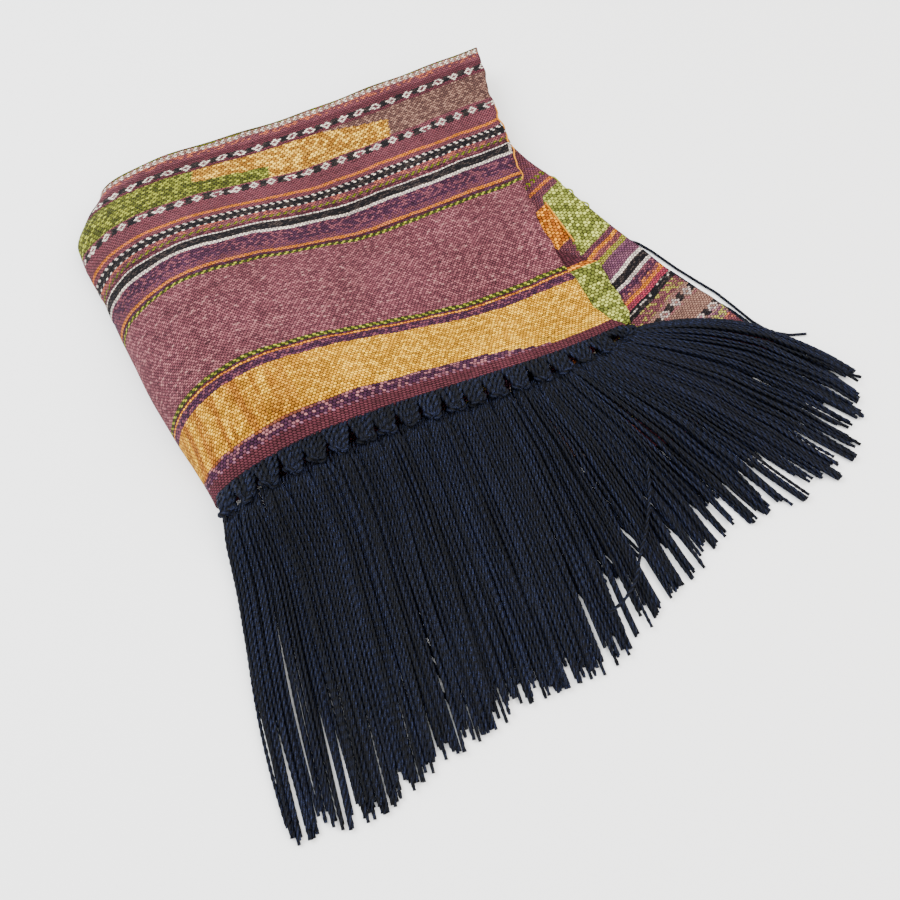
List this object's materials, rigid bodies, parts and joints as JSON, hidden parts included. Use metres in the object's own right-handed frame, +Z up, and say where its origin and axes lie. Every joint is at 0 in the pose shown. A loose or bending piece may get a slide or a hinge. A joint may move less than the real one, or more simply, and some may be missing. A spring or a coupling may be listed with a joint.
{
  "type": "flatweave runner",
  "caption": "Handwoven striped flatweave runner, folded crosswise and then in half around a soft roll, with a long knotted cord fringe spread in front.",
  "frame": {"origin": "centre of the footprint, on the surface that the runner rests on", "axes": "+Z up; +X to the right along the front hem, from the soft roll to the selvedges; +Y from the fringe back along the warp"},
  "size_m": [0.4053, 0.4498, 0.0531],
  "materials": {
    "cloth": "matt handwoven wool in plum, gold, green and maroon stripes",
    "cord": "dark navy twisted cotton cord"
  },
  "bodies": {
    "root": {"runner_cloth": "cloth", "fringe_upper": "cord", "fringe_under": "cord"}
  },
  "joints": []
}
